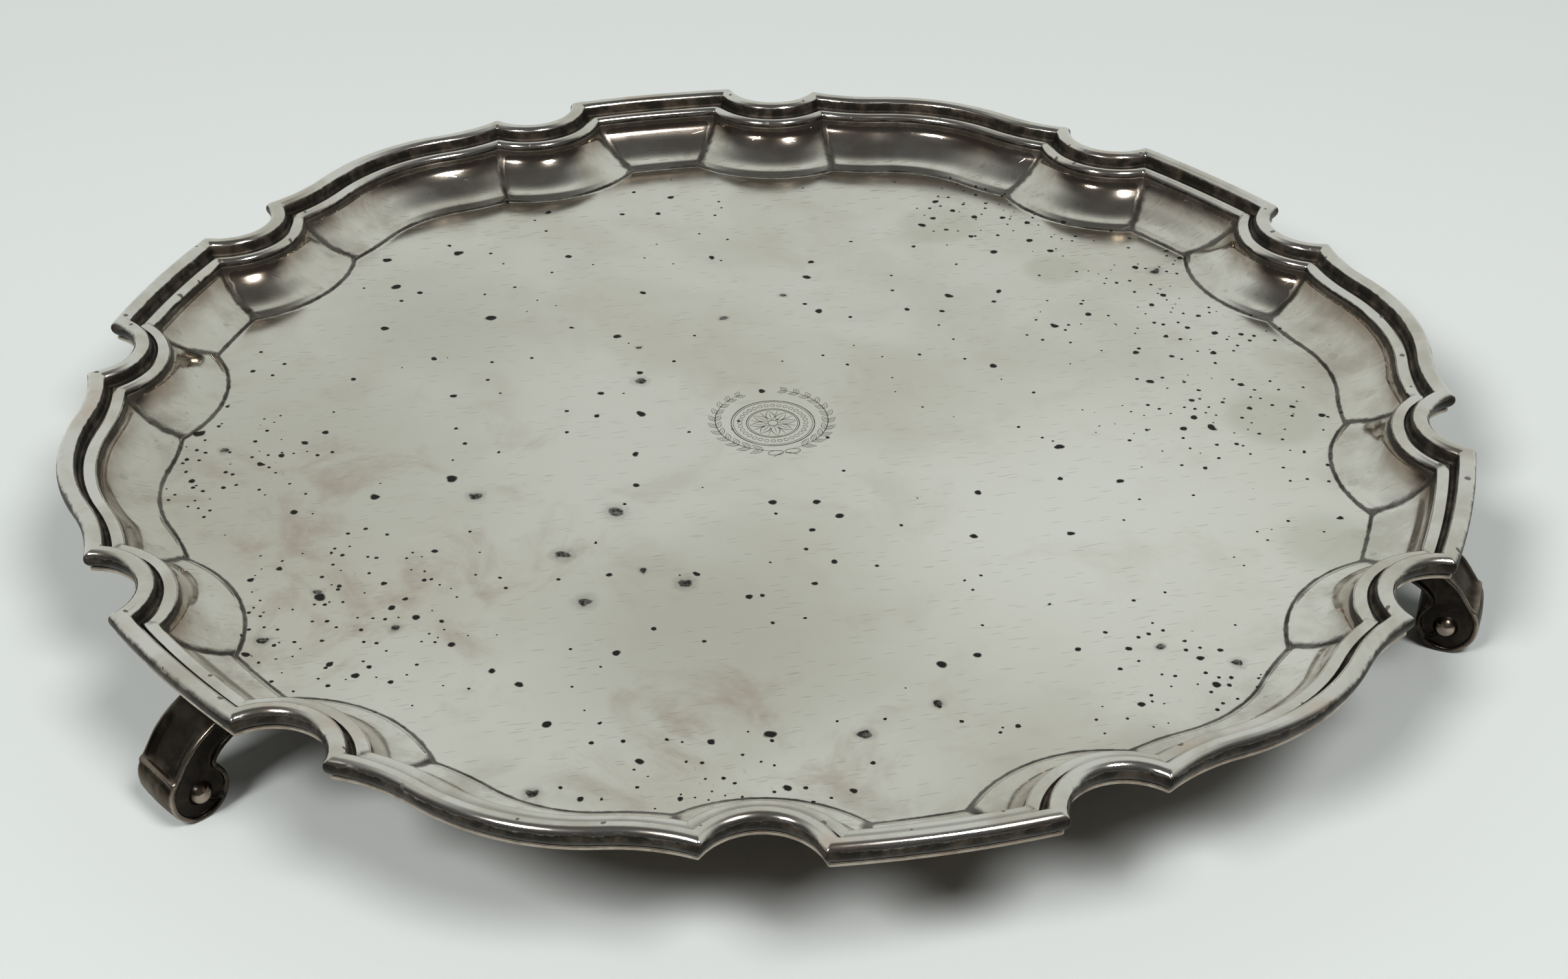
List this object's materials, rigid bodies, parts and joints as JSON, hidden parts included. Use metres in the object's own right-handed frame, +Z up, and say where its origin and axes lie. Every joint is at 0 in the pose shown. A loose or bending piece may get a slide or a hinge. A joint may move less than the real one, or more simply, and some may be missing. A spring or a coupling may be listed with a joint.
{
  "type": "footed salver",
  "caption": "Flat round serving tray with a raised pie-crust rim of mitred lobes, an applied moulding and small scroll feet.",
  "frame": {"origin": "centre of the flat serving surface, on its upper face", "axes": "+Z up, square to the serving surface; -Y through the middle of one straight edge of the rim; +X through the middle of a bracket lobe; the feet are under the straights at -30, 90 and 210 degrees from +X"},
  "size_m": [0.3028, 0.3075, 0.0338],
  "materials": {
    "tray_silver": "aged silver plate, satin with fine scratches and small dark tarnish spots",
    "moulding_silver": "glossy silver plate, darker in the grooves",
    "foot_silver": "glossy cast silver plate, heavily tarnished, worn warm on the edges"
  },
  "bodies": {
    "root": {"tray_sheet": "tray_silver", "moulding_1": "moulding_silver", "moulding_2": "moulding_silver", "moulding_3": "moulding_silver", "moulding_4": "moulding_silver", "moulding_5": "moulding_silver", "moulding_6": "moulding_silver", "foot_front_left": "foot_silver", "foot_front_right": "foot_silver", "foot_back": "foot_silver"}
  },
  "joints": []
}
